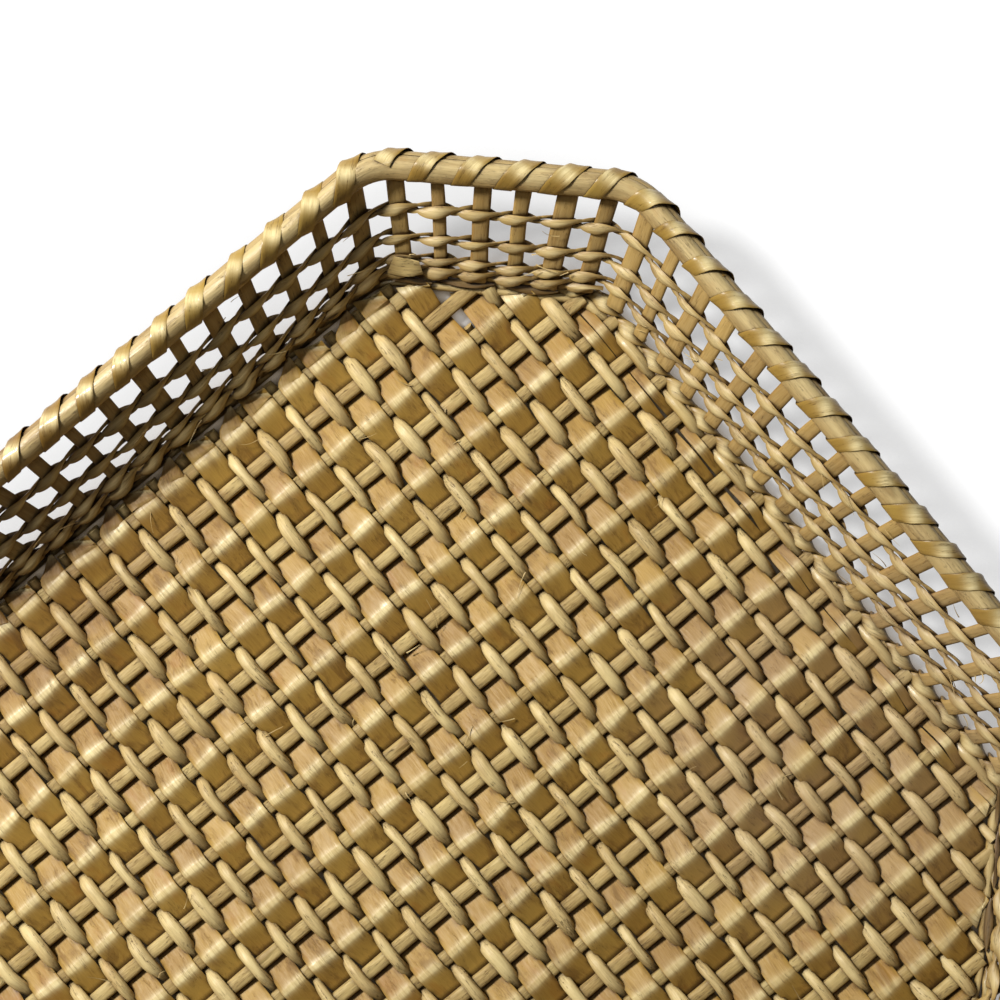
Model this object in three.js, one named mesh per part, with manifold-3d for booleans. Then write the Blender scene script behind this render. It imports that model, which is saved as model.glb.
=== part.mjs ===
// Drying basket: a shallow tray with cut corners, woven from split and peeled willow.
// Millimetres, +Z up. The origin is on the floor, in the middle of the base.
// Laths lie across the tray, along X. Flat strips and thin rods take turns across them, along Y.
// The side is openwork: stakes, three woven rows, and two hoops that a flat strip lashes together.
import * as THREE from "three";
import { mergeVertices } from "three/addons/utils/BufferGeometryUtils.js";
import Module from "manifold-3d";

// Base: laths along X, flat strips and rods along Y.
const LATH_COUNT = 24;
const LATH_PITCH = 19;
const LATH_WIDTH = 6.6;
const LATH_THICKNESS = 3;
const LATH_FLAT_WIDTH = 2.6;
const STRIP_COUNT = 25;
const STRIP_PITCH = 19;
const STRIP_WIDTH = 12.4;
const STRIP_THICKNESS = 1.2;
const ROD_THICKNESS = 3.2;

// Border: the band round the base that the tray stands on.
const BORDER_WIDTH = 8;
const BORDER_CORNER_CUT = 78;
const BORDER_CORNER_RADIUS = 30;
const FLOOR_CLEARANCE = 0.6;

// Side: stakes and woven rows between the border and the rim.
const RIM_HEIGHT = 64;
const SIDE_FLARE = 45;
const RIM_CORNER_CUT = 92;
const RIM_CORNER_RADIUS = 35;
const STAKES_PER_WALL = 17;
const STAKES_PER_CORNER = 6;
const STAKE_WIDTH = 7.6;
const STAKE_THICKNESS = 2;
const STAKE_TIP_DROP = 2;
const FOOT_BAND_HEIGHT = 5;
const FOOT_BAND_THICKNESS = 5;
const ROW_COUNT = 3;
const WEAVER_HEIGHT = 5.4;
const WEAVER_THICKNESS = 1.6;

// Rim: an inner and an outer hoop, and the strip that lashes them.
const HOOP_HEIGHT = 13;
const HOOP_THICKNESS = 5;
const LASHING_WIDTH = 8;
const LASHING_THICKNESS = 1;
const LASHING_END_GAP = 1;
const LASHING_SLACK = 0.5;

// Clearance that touching pieces keep, and the depth that joined pieces share.
const CLEARANCE = 0.3;
const JOIN_DEPTH = 1;

// Sizes that follow.
const ROD_WIDTH = STRIP_PITCH - STRIP_WIDTH - 2 * CLEARANCE;
const STRIP_SWING = swing(STRIP_THICKNESS);
const ROD_SWING = swing(ROD_THICKNESS);
const MAT_HALF_THICKNESS = Math.max(ROD_SWING + ROD_THICKNESS / 2, STRIP_SWING + STRIP_THICKNESS / 2);
const MAT_HEIGHT = FLOOR_CLEARANCE + MAT_HALF_THICKNESS;
const BORDER_HEIGHT = 2 * MAT_HEIGHT;
const BORDER_HALF_X = (STRIP_COUNT * STRIP_PITCH) / 2 + BORDER_WIDTH;
const BORDER_HALF_Y = (LATH_COUNT * LATH_PITCH) / 2 + BORDER_WIDTH;
const FOOT_HEIGHT = BORDER_HEIGHT + CLEARANCE;
const STAKE_FACE = STAKE_THICKNESS / 2;
const HOOP_INNER_FACE = STAKE_FACE + CLEARANCE;
const HOOP_OUTER_FACE = HOOP_INNER_FACE + HOOP_THICKNESS;
const HALF_BEND = Math.PI / 8;

const COLOURS = {
  lath: 0xcfc193,
  strip: 0xd3ab63,
  stake: 0xb98d4e,
  weaver: 0xbe9658,
  hoop: 0xc9a66b,
  lashing: 0xcda855,
};

const wasm = await Module();
wasm.setup();

// How far a strand of this thickness swings above and below the laths that it passes.
function swing(thickness) {
  const clear = LATH_THICKNESS / 2 + CLEARANCE + thickness / 2;
  return clear / (1 - LATH_FLAT_WIDTH / LATH_PITCH);
}

// A closed mesh from rings of points. The last ring joins the first on a closed loop.
function skin(rings, loop = false) {
  const size = rings[0].length;
  const positions = rings.flat().flatMap((p) => [p.x, p.y, p.z]);
  const faces = [];
  const spans = loop ? rings.length : rings.length - 1;
  for (let i = 0; i < spans; i++) {
    const here = i * size;
    const next = ((i + 1) % rings.length) * size;
    for (let j = 0; j < size; j++) {
      const k = (j + 1) % size;
      faces.push(here + j, here + k, next + k);
      faces.push(here + j, next + k, next + j);
    }
  }
  if (!loop) {
    const last = (rings.length - 1) * size;
    for (let j = 1; j < size - 1; j++) {
      faces.push(0, j + 1, j);
      faces.push(last, last + j, last + j + 1);
    }
  }
  const geometry = new THREE.BufferGeometry();
  geometry.setAttribute("position", new THREE.Float32BufferAttribute(positions, 3));
  geometry.setIndex(faces);
  return geometry;
}

function toSolid(geometry) {
  const merged = mergeVertices(geometry, 1e-4);
  return new wasm.Manifold(
    new wasm.Mesh({
      numProp: 3,
      vertProperties: new Float32Array(merged.attributes.position.array),
      triVerts: new Uint32Array(merged.index.array),
    }),
  );
}

function toGeometry(solid) {
  const mesh = solid.getMesh();
  const geometry = new THREE.BufferGeometry();
  geometry.setAttribute("position", new THREE.Float32BufferAttribute(mesh.vertProperties, 3));
  geometry.setIndex(Array.from(mesh.triVerts));
  return geometry;
}

// A rounded octagon: a function of side and fraction that gives a point and the way out there.
// Side 0 is the +X wall and the others follow anticlockwise, each from mid-bend to mid-bend.
function outline(halfX, halfY, cut, radius) {
  const x = halfX - cut;
  const y = halfY - cut;
  const corners = [
    [halfX, -y],
    [halfX, y],
    [x, halfY],
    [-x, halfY],
    [-halfX, y],
    [-halfX, -y],
    [-x, -halfY],
    [x, -halfY],
  ].map(([px, py]) => new THREE.Vector2(px, py));
  const trim = radius * Math.tan(HALF_BEND);
  const bend = radius * HALF_BEND;
  const at = (side, fraction) => {
    const from = corners[side % 8];
    const to = corners[(side + 1) % 8];
    const along = to.clone().sub(from).normalize();
    const straight = from.distanceTo(to) - 2 * trim;
    const s = fraction * (straight + 2 * bend);
    const out = new THREE.Vector2(along.y, -along.x);
    const onLine = THREE.MathUtils.clamp(s - bend, 0, straight);
    const turn = (s - bend - onLine) / radius;
    const centre = from.clone().addScaledVector(along, trim + onLine).addScaledVector(out, -radius);
    out.rotateAround(new THREE.Vector2(), turn);
    return { point: centre.addScaledVector(out, radius), out };
  };
  const sideLength = (side) =>
    corners[side % 8].distanceTo(corners[(side + 1) % 8]) - 2 * trim + 2 * bend;
  // The share of a side that its first half bend takes.
  const bendShare = (side) => bend / sideLength(side);
  return { at, sideLength, bendShare };
}

// The fractions at which a band along one side turns: each half bend in equal steps.
function turns(line, side, steps) {
  const share = line.bendShare(side);
  const list = [];
  for (let i = 0; i <= steps; i++) list.push((share * i) / steps);
  for (let i = steps; i > 0; i--) list.push(1 - (share * i) / steps);
  return list;
}

// The border's outline, drawn in by a given distance. Its bends keep one centre.
function borderOutline(inset) {
  return outline(
    BORDER_HALF_X - inset,
    BORDER_HALF_Y - inset,
    BORDER_CORNER_CUT - inset * (2 - Math.SQRT2),
    BORDER_CORNER_RADIUS - inset,
  );
}

const footLine = borderOutline(BORDER_WIDTH / 2);
const rimLine = outline(
  BORDER_HALF_X - BORDER_WIDTH / 2 + SIDE_FLARE,
  BORDER_HALF_Y - BORDER_WIDTH / 2 + SIDE_FLARE,
  RIM_CORNER_CUT,
  RIM_CORNER_RADIUS,
);

// How far along a line its sides before this one reach. Before side 8 it is the whole way round.
function lengthBefore(line, side) {
  let length = 0;
  for (let i = 0; i < side; i++) length += line.sideLength(i);
  return length;
}

// An upright prism on an outline, from one height to another.
function prism(line, low, high) {
  const points = [];
  for (let side = 0; side < 8; side++) {
    for (const fraction of turns(line, side, 2)) points.push(line.at(side, fraction).point);
  }
  const ring = (z) => points.map((p) => new THREE.Vector3(p.x, p.y, z));
  return toSolid(skin([ring(low), ring(high)]));
}

const floorPrism = prism(borderOutline(BORDER_WIDTH + CLEARANCE), -BORDER_HEIGHT, 2 * BORDER_HEIGHT);

// A lath lies straight, at one place along Y. Its section has a flat top and thin edges.
function lath(index) {
  const y = (index - (LATH_COUNT - 1) / 2) * LATH_PITCH;
  const flat = LATH_FLAT_WIDTH / 2;
  const edge = LATH_WIDTH / 2;
  const half = LATH_THICKNESS / 2;
  const section = [
    [edge, 0],
    [flat, half],
    [-flat, half],
    [-edge, 0],
    [-flat, -half],
    [flat, -half],
  ];
  const ring = (x) => section.map(([dy, dz]) => new THREE.Vector3(x, y + dy, MAT_HEIGHT + dz));
  return toSolid(skin([ring(-BORDER_HALF_X), ring(BORDER_HALF_X)]));
}

// A strand along Y that goes over every other lath and under the ones between.
function strand(x, section, reach, phase) {
  const rings = [];
  for (let i = -1; i <= LATH_COUNT; i++) {
    const y = (i - (LATH_COUNT - 1) / 2) * LATH_PITCH;
    const z = MAT_HEIGHT + reach * ((i + phase) % 2 === 0 ? 1 : -1);
    rings.push(section.map(([dx, dz]) => new THREE.Vector3(x + dx, y, z + dz)));
  }
  return toSolid(skin(rings));
}

function flatStrip(index) {
  const x = (index - (STRIP_COUNT - 1) / 2) * STRIP_PITCH;
  const edge = STRIP_WIDTH / 2;
  const half = STRIP_THICKNESS / 2;
  const section = [
    [-edge, -half],
    [-edge, half],
    [edge, half],
    [edge, -half],
  ];
  return strand(x, section, STRIP_SWING, 1).intersect(floorPrism);
}

// A half-round rod fills the space between two strips, and goes over the other laths.
function rod(index) {
  const x = (index + 1 - STRIP_COUNT / 2) * STRIP_PITCH;
  const edge = ROD_WIDTH / 2;
  const half = ROD_THICKNESS / 2;
  const section = [
    [-edge, -half],
    [0, half],
    [edge, -half],
  ];
  return strand(x, section, ROD_SWING, 0);
}

// The border with the laths and rods whose ends it holds.
function baseFrame() {
  const inside = prism(borderOutline(BORDER_WIDTH), -BORDER_HEIGHT, 2 * BORDER_HEIGHT);
  const border = prism(borderOutline(0), 0, BORDER_HEIGHT).subtract(inside);
  const middle = prism(borderOutline(BORDER_WIDTH / 2), 0, BORDER_HEIGHT);
  let held = border;
  for (let i = 0; i < LATH_COUNT; i++) held = held.add(lath(i).intersect(middle));
  for (let i = 0; i < STRIP_COUNT - 1; i++) held = held.add(rod(i).intersect(middle));
  return held;
}

// The side's own directions at one place: up the slope, out of it, and along it.
function slope(side, fraction) {
  const foot = footLine.at(side, fraction);
  const rim = rimLine.at(side, fraction);
  const low = new THREE.Vector3(foot.point.x, foot.point.y, FOOT_HEIGHT);
  const up = new THREE.Vector3(rim.point.x, rim.point.y, RIM_HEIGHT).sub(low);
  const length = up.length();
  up.normalize();
  const way = foot.out.clone().add(rim.out).normalize();
  const out = new THREE.Vector3(-way.y, way.x, 0).cross(up).normalize();
  const along = up.clone().cross(out);
  const at = (height, offset, shift = 0) =>
    low.clone().addScaledVector(up, height).addScaledVector(out, offset).addScaledVector(along, shift);
  // The same, with the offset taken level instead of square to the slope.
  const level = (height, offset, shift = 0) =>
    at(height, 0, shift).add(new THREE.Vector3(way.x, way.y, 0).multiplyScalar(offset));
  return { at, level, length };
}

function stakeCount(side) {
  return side % 2 === 0 ? STAKES_PER_WALL : STAKES_PER_CORNER;
}

function stake(side, fraction) {
  const here = slope(side, fraction);
  const wide = STAKE_WIDTH / 2;
  const ring = (height) => [
    here.at(height, -STAKE_FACE, -wide),
    here.at(height, STAKE_FACE, -wide),
    here.at(height, STAKE_FACE, wide),
    here.at(height, -STAKE_FACE, wide),
  ];
  const start = FOOT_BAND_HEIGHT - JOIN_DEPTH;
  return toSolid(skin([ring(start), ring(here.length - STAKE_TIP_DROP)]));
}

// The section of a band that lies along the side, between two heights and two offsets.
function bandSection(here, low, high, near, far) {
  return [here.at(low, near), here.at(high, near), here.at(high, far), here.at(low, far)];
}

// One side of the openwork: its stakes, held at the foot by the band that rests on the border.
function wall(side) {
  const half = FOOT_BAND_THICKNESS / 2;
  const rings = [...turns(footLine, side, 2), 1].map((fraction) => {
    const here = slope(side, fraction);
    const end = fraction === 0 ? 1 : fraction === 1 ? -1 : 0;
    const shift = (end * CLEARANCE) / 2;
    return [
      here.level(0, -half, shift),
      here.level(FOOT_BAND_HEIGHT, -half, shift),
      here.level(FOOT_BAND_HEIGHT, half, shift),
      here.level(0, half, shift),
    ];
  });
  let whole = toSolid(skin(rings));
  const stakes = stakeCount(side);
  for (let i = 0; i < stakes; i++) whole = whole.add(stake(side, (i + 0.5) / stakes));
  return whole;
}

// A band that goes all the way round the side. Its section depends on the slope at each place.
function hoopBand(steps, sectionAt) {
  const rings = [];
  for (let side = 0; side < 8; side++) {
    for (const fraction of turns(rimLine, side, steps)) rings.push(sectionAt(slope(side, fraction)));
  }
  return skin(rings, true);
}

// The share of the free height that lies below a row. The gaps widen evenly towards the rim.
function shareBelow(row) {
  return ((row + 1) * (row + 2)) / ((ROW_COUNT + 1) * (ROW_COUNT + 2));
}

// One strand of a woven row, along the inner (-1) or outer (1) face of the stakes.
function weaver(row, face) {
  const near = face * (STAKE_FACE + CLEARANCE);
  const far = near + face * WEAVER_THICKNESS;
  const bands = FOOT_BAND_HEIGHT + HOOP_HEIGHT + ROW_COUNT * WEAVER_HEIGHT;
  return hoopBand(2, (here) => {
    const free = (here.length - bands) * shareBelow(row);
    const low = FOOT_BAND_HEIGHT + row * WEAVER_HEIGHT + free;
    return bandSection(here, low, low + WEAVER_HEIGHT, Math.min(near, far), Math.max(near, far));
  });
}

// A hoop round the inner (-1) or outer (1) face of the stakes' tips.
function hoop(face) {
  const near = face * HOOP_INNER_FACE;
  const far = face * HOOP_OUTER_FACE;
  return hoopBand(3, (here) => {
    const low = here.length - HOOP_HEIGHT;
    return bandSection(here, low, here.length, Math.min(near, far), Math.max(near, far));
  });
}

// The slope at a distance along the rim, counted from the start of side 0.
function slopeAlongRim(distance) {
  let side = 0;
  let rest = distance;
  if (rest < 0) rest += lengthBefore(rimLine, 8);
  while (rest > rimLine.sideLength(side)) {
    rest -= rimLine.sideLength(side);
    side = (side + 1) % 8;
  }
  return slope(side, rest / rimLine.sideLength(side));
}

// One length of the lashing: it slants over the hoops from each gap between stakes to the next,
// and goes under them square across the gap.
function lashingPath(firstSide) {
  const path = [];
  let start = lengthBefore(rimLine, firstSide);
  for (const side of [firstSide, firstSide + 1]) {
    const pitch = rimLine.sideLength(side) / stakeCount(side);
    for (let i = 0; i < stakeCount(side); i++) {
      const gap = start + i * pitch;
      path.push({ distance: gap, face: -1, top: false });
      path.push({ distance: gap, face: 1, top: false });
      path.push({ distance: gap + 0.3 * pitch, face: 1, top: true });
      path.push({ distance: gap + 0.7 * pitch, face: -1, top: true });
    }
    start += rimLine.sideLength(side);
  }
  path.push({ distance: start - LASHING_WIDTH - LASHING_END_GAP, face: -1, top: false });
  return path;
}

// A point of the lashing, this far off the hoops and to one side of its middle.
function lashingPoint({ distance, face, top }, off, shift) {
  const here = slopeAlongRim(distance + shift);
  const height = top ? here.length + off : here.length - HOOP_HEIGHT - off;
  return here.at(height, face * (HOOP_OUTER_FACE + off));
}

function lashing(firstSide) {
  const wide = LASHING_WIDTH / 2;
  const outer = LASHING_SLACK + LASHING_THICKNESS;
  const rings = lashingPath(firstSide).map((place) => [
    lashingPoint(place, LASHING_SLACK, wide),
    lashingPoint(place, LASHING_SLACK, -wide),
    lashingPoint(place, outer, -wide),
    lashingPoint(place, outer, wide),
  ]);
  return skin(rings);
}

// The least gap between two turns of a lashing, from points along its middle.
function leastGap(firstSide) {
  const middle = LASHING_SLACK + LASHING_THICKNESS / 2;
  const path = lashingPath(firstSide).map((place) => lashingPoint(place, middle, 0));
  const points = [];
  for (let i = 0; i + 1 < path.length; i++) {
    for (let k = 0; k < 4; k++) {
      const at = path[i].clone().lerp(path[i + 1], k / 4);
      points.push({ at, turn: i + k / 4 });
    }
  }
  let least = Infinity;
  for (const p of points) {
    for (const q of points) {
      if (q.turn - p.turn > 3) least = Math.min(least, p.at.distanceTo(q.at));
    }
  }
  return least - LASHING_WIDTH;
}

const basket = new THREE.Group();

function addPiece(name, geometry, colour, roughness) {
  const material = new THREE.MeshStandardMaterial({ color: colour, roughness, metalness: 0 });
  geometry.computeVertexNormals();
  const mesh = new THREE.Mesh(geometry, material);
  mesh.name = name;
  basket.add(mesh);
}

addPiece("base_border_laths_and_rods", toGeometry(baseFrame()), COLOURS.lath, 0.7);

for (let i = 0; i < STRIP_COUNT; i++) {
  const name = "base_strip_" + String(i + 1).padStart(2, "0");
  addPiece(name, toGeometry(flatStrip(i)), COLOURS.strip, 0.55);
}

const WALLS = [
  "stakes_right",
  "stakes_corner_right_back",
  "stakes_back",
  "stakes_corner_left_back",
  "stakes_left",
  "stakes_corner_left_front",
  "stakes_front",
  "stakes_corner_right_front",
];
WALLS.forEach((name, side) => addPiece(name, toGeometry(wall(side)), COLOURS.stake, 0.65));

for (let row = 0; row < ROW_COUNT; row++) {
  addPiece(`weaver_${row + 1}_inner`, weaver(row, -1), COLOURS.weaver, 0.6);
  addPiece(`weaver_${row + 1}_outer`, weaver(row, 1), COLOURS.weaver, 0.6);
}

addPiece("rim_inner_hoop", hoop(-1), COLOURS.hoop, 0.5);
addPiece("rim_outer_hoop", hoop(1), COLOURS.hoop, 0.5);

const LASHINGS = ["rim_lashing_right", "rim_lashing_back", "rim_lashing_left", "rim_lashing_front"];
LASHINGS.forEach((name, i) => {
  addPiece(name, lashing(2 * i), COLOURS.lashing, 0.4);
  console.log(name + " least gap to itself " + leastGap(2 * i).toFixed(1) + " mm");
});

export default basket;
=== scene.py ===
"""Drying basket: a shallow willow tray with cut corners.

The base is woven close, from laths along X with flat strips and half-round rods along Y.
The side is openwork, with stakes, three twined rows and two hoops lashed into a rim.
Lengths in the code are millimetres in the frame of the part. Meshes are written in metres.
"""
from math import copysign, cos, exp, hypot, pi, radians, sin, sqrt, tan

import bpy
import numpy as np
from bpy.props import FloatProperty, FloatVectorProperty, PointerProperty
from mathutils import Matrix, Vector
from numpy.random import default_rng


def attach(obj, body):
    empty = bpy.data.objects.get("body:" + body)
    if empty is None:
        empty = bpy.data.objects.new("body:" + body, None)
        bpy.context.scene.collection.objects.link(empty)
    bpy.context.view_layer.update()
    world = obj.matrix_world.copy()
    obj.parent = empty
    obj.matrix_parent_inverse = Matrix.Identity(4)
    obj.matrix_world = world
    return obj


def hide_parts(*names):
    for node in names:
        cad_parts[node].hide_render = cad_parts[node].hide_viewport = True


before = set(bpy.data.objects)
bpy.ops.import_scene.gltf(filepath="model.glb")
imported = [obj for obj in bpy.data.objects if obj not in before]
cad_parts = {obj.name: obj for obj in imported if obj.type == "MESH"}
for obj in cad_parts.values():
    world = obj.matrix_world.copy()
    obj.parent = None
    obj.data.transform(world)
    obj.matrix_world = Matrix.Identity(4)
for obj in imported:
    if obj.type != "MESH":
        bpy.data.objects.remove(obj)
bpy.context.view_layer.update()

bl_info = {
    "name": "Drying basket",
    "version": (1, 0, 0),
    "blender": (4, 5, 0),
    "location": "View3D > Sidebar > Basket",
    "description": "Weaves a willow drying basket round its packed solids",
    "category": "Add Mesh",
}

MM = 0.001
UP = (0, 0, 1)

# Base. Strips and rods rise and sink by their reach from the middle height of the base.
LATH_COUNT = 24
LATH_PITCH = 19.0
LATH_THICKNESS = 5.2
LATH_INSET = 6.0
STRIP_COUNT = 25
STRIP_PITCH = 19.0
STRIP_THICKNESS = 0.95
STRIP_INSET = 9.5
STRIP_REACH = 3.7
ROD_THICKNESS = 3.2
ROD_INSET = 6.5
ROD_REACH = 4.2
MAT_HEIGHT = 6.14
LAST_LATH = LATH_COUNT - 1

# Border and side.
BORDER_HALF_X = 245.5
BORDER_HALF_Y = 236.0
BORDER_CUT = 78.0
BORDER_RADIUS = 30.0
BORDER_STRAND_HEIGHT = 5.2
FOOT_INSET = 4.0
FOOT_HEIGHT = 12.58
FOOT_DEPTH = 9.5
SIDE_FLARE = 45.0
RIM_HEIGHT = 64.0
RIM_CUT = 92.0
RIM_RADIUS = 35.0
STAKES_PER_WALL = 17
STAKES_PER_CORNER = 6
STAKE_THICKNESS = 2.4
FOOT_BAND_HEIGHT = 5.0
ROW_COUNT = 3
ROW_WIDTH = 5.4
WEAVER_THICKNESS = 1.7

# Rim.
HOOP_HEIGHT = 13.0
HOOP_OUTER_FACE = 6.3
RIM_MIDDLE = -HOOP_HEIGHT / 2
RIM_SQUARENESS = 2.7
LASHING_THICKNESS = 0.5
LASHING_GAP = 0.1

SIDE_NAMES = ("right", "corner_right_back", "back", "corner_left_back")
SIDE_NAMES += ("left", "corner_left_front", "front", "corner_right_front")


def linear(red, green, blue):
    """Linear colour of a display colour given in 0 to 255."""
    shares = [value / 255 for value in (red, green, blue)]
    return tuple(v / 12.92 if v < 0.04045 else ((v + 0.055) / 1.055) ** 2.4 for v in shares)


def sized(name, description, default):
    return FloatProperty(
        name=name, description=description, default=default * MM, min=0.0001,
        unit="LENGTH", subtype="DISTANCE", precision=4,
    )


def coloured(name, description, default):
    return FloatVectorProperty(
        name=name, description=description, default=linear(*default), min=0.0, max=1.0,
        size=3, subtype="COLOR",
    )


class BasketSizes(bpy.types.PropertyGroup):
    """Widths of the willow pieces."""

    lath_width: sized("Lath width", "Width of a lath of the base", 7.3)
    strip_width: sized("Strip width", "Width of a flat strip of the base", 14.6)
    rod_width: sized("Rod width", "Greatest width of a half-round rod", 7.5)
    stake_width: sized("Stake width", "Width of an upright stake of the side", 8.0)
    weaver_width: sized("Weaver width", "Greatest width of a twined strand", 6.2)
    lashing_width: sized("Lashing width", "Width of the strip round the rim", 8.6)
    unevenness: FloatProperty(
        name="Unevenness", description="How far the pieces wander from an even weave",
        default=1.0, min=0.0, max=2.0, subtype="FACTOR",
    )


class BasketColours(bpy.types.PropertyGroup):
    """Colours of the willow pieces."""

    lath: coloured("Laths", "Peeled laths of the base", (190, 162, 102))
    strip: coloured("Strips", "Flat strips of the base", (166, 128, 56))
    rod: coloured("Rods", "Half-round rods of the base", (208, 180, 120))
    stake: coloured("Stakes", "Upright stakes of the side", (162, 124, 58))
    weaver: coloured("Twined rows", "Twisted strands of the side", (170, 137, 76))
    hoop: coloured("Hoops", "Inner and outer hoop of the rim", (182, 152, 98))
    lashing: coloured("Lashing", "Flat strip that lashes the rim", (168, 134, 64))
    floor: coloured("Floor", "Plain floor under the basket", (238, 238, 238))


# Outlines and the slope of the side.


class Outline:
    """A rounded octagon. Side 0 is the +X wall, the others follow anticlockwise."""

    def __init__(self, half_x, half_y, cut, radius):
        x, y = half_x - cut, half_y - cut
        half = [(half_x, -y), (half_x, y), (x, half_y), (-x, half_y)]
        self.corners = np.array(half + [(-a, -b) for a, b in half])
        self.radius = radius
        self.trim = radius * tan(pi / 8)
        self.bend = radius * pi / 8

    def straight(self, side):
        span = self.corners[(side + 1) % 8] - self.corners[side % 8]
        return float(np.hypot(*span)) - 2 * self.trim

    def side_length(self, side):
        return self.straight(side) + 2 * self.bend

    def at(self, side, fraction):
        """The point at a fraction of a side, and the way out there."""
        start = self.corners[side % 8]
        along = self.corners[(side + 1) % 8] - start
        along = along / np.hypot(*along)
        straight = self.straight(side)
        distance = fraction * (straight + 2 * self.bend)
        on_line = min(max(distance - self.bend, 0.0), straight)
        turn = (distance - self.bend - on_line) / self.radius
        out = np.array((along[1], -along[0]))
        centre = start + along * (self.trim + on_line) - out * self.radius
        c, s = cos(turn), sin(turn)
        out = np.array((c * out[0] - s * out[1], s * out[0] + c * out[1]))
        return centre + out * self.radius, out


def inset_cut(inset):
    """The cut of the border's outline drawn in evenly by an inset."""
    return BORDER_CUT - inset * (2 - sqrt(2))


BORDER_ROD_LINE = Outline(BORDER_HALF_X - 10.3, BORDER_HALF_Y - 3.4, 74.0, 22.0)
BORDER_STRAND_LINE = Outline(BORDER_HALF_X - 5.2, BORDER_HALF_Y - 1.2, 75.0, 26.0)
FOOT_HALF = BORDER_HALF_X - FOOT_INSET, BORDER_HALF_Y - FOOT_INSET
FOOT_LINE = Outline(*FOOT_HALF, inset_cut(FOOT_INSET), BORDER_RADIUS - FOOT_INSET)
RIM_LINE = Outline(*(half + SIDE_FLARE for half in FOOT_HALF), RIM_CUT, RIM_RADIUS)


class Slope:
    """The side's own directions at one place: up the slope, out of it and along it."""

    def __init__(self, side, fraction):
        foot, foot_out = FOOT_LINE.at(side, fraction)
        rim, rim_out = RIM_LINE.at(side, fraction)
        self.low = np.array((foot[0], foot[1], FOOT_HEIGHT))
        rise = np.array((rim[0], rim[1], RIM_HEIGHT)) - self.low
        self.length = float(np.linalg.norm(rise))
        self.up = rise / self.length
        way = foot_out + rim_out
        self.way = np.array((way[0], way[1], 0.0)) / np.hypot(*way)
        level = np.array((-self.way[1], self.way[0], 0.0))
        out = np.cross(level, self.up)
        self.out = out / np.linalg.norm(out)
        self.along = np.cross(self.up, self.out)

    def at(self, height, offset, shift=0.0):
        return self.low + self.up * height + self.out * offset + self.along * shift


def stake_count(side):
    return STAKES_PER_WALL if side % 2 == 0 else STAKES_PER_CORNER


STAKE_TOTAL = sum(stake_count(side) for side in range(8))
STAKE_STARTS = [sum(stake_count(i) for i in range(side)) for side in range(8)]


def slope_at_stake(count):
    """The slope at a place counted in stakes. Stake n stands at n + 0.5."""
    count = count % STAKE_TOTAL
    side = max(i for i in range(8) if STAKE_STARTS[i] <= count)
    return Slope(side, (count - STAKE_STARTS[side]) / stake_count(side))


def row_height(here, row):
    """The middle of a twined row. The gaps widen evenly towards the rim."""
    free = here.length - FOOT_BAND_HEIGHT - HOOP_HEIGHT - ROW_COUNT * ROW_WIDTH
    share = (row + 1) * (row + 2) / ((ROW_COUNT + 1) * (ROW_COUNT + 2))
    return FOOT_BAND_HEIGHT + (row + 0.5) * ROW_WIDTH + free * share


# Swept pieces.


def rounded(values, places):
    """Values at whole places, eased between them."""
    values = np.asarray(values, float)
    places = np.clip(np.asarray(places, float), 0, len(values) - 1.000001)
    low = np.floor(places).astype(int)
    part = places - low
    part = part * part * (3 - 2 * part)
    return values[low] * (1 - part) + values[low + 1] * part


def variation(rng, places, count):
    """Draws values between two bounds, one for each of count places, eased between them."""
    return lambda low, high: rounded(rng.uniform(low, high, count), places)


def wander(rng, distance, spacing, amount):
    """A slow random drift along a piece."""
    distance = np.asarray(distance, float)
    knots = int((distance.max() - distance.min()) / spacing) + 4
    values = rng.uniform(-amount, amount, knots)
    return rounded(values, (distance - distance.min()) / spacing + 1)


def squared(angles, power):
    """Points round a unit circle, pushed out towards a square by the power."""
    c, s = np.cos(angles), np.sin(angles)
    return np.sign(c) * np.abs(c) ** (2.0 / power), np.sign(s) * np.abs(s) ** (2.0 / power)


def oval_section(count, squareness=2.0):
    return np.stack(squared(np.arange(count) * 2 * pi / count, squareness), 1)


def arch(*half):
    """Points over an arch from one end to the other, given its first half."""
    return [*half, *((-x, y) for x, y in reversed(half) if x)]


# Sections of the pieces: across and above, in half widths and half thicknesses.
LATH_SECTION = oval_section(14, squareness=3.2)
STAKE_SECTION = oval_section(12, squareness=2.8)
KNUCKLE_SECTION = oval_section(12, squareness=2.1)
FIBRE_SECTION = oval_section(5)
STRIP_SECTION = np.array(
    arch((1.0, 0.0), (0.95, 0.7), (0.65, 0.98), (0.25, 1.08))
    + arch((-0.94, -0.8), (-0.5, -0.8), (0.0, -0.75))
)
ROD_SECTION = np.array(
    arch((1.0, -0.62), (0.97, -0.2), (0.82, 0.32), (0.56, 0.74), (0.2, 0.97))
    + arch((-0.8, -0.98), (0.0, -1.0))
)
LASHING_SECTION = np.array(
    arch((1.0, 0.0), (0.94, 0.8), (0.55, 1.15), (0.0, 1.3)) + arch((-0.94, -0.9), (0.0, -0.8))
)
WEAVER_SECTION = np.array(
    [(1.0, 0.0), (0.82, 0.4), (0.4, 0.84), (0.05, 1.0), (-0.35, 0.78), (-0.8, 0.3)]
    + [(-1.0, -0.1), (-0.75, -0.6), (-0.3, -0.85), (0.3, -0.85), (0.75, -0.55)]
)

# How steeply a turned end may tip its edges.
MOST_TIP = 0.3


def unit(vectors):
    return vectors / np.maximum(np.linalg.norm(vectors, axis=-1, keepdims=True), 1e-9)


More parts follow.
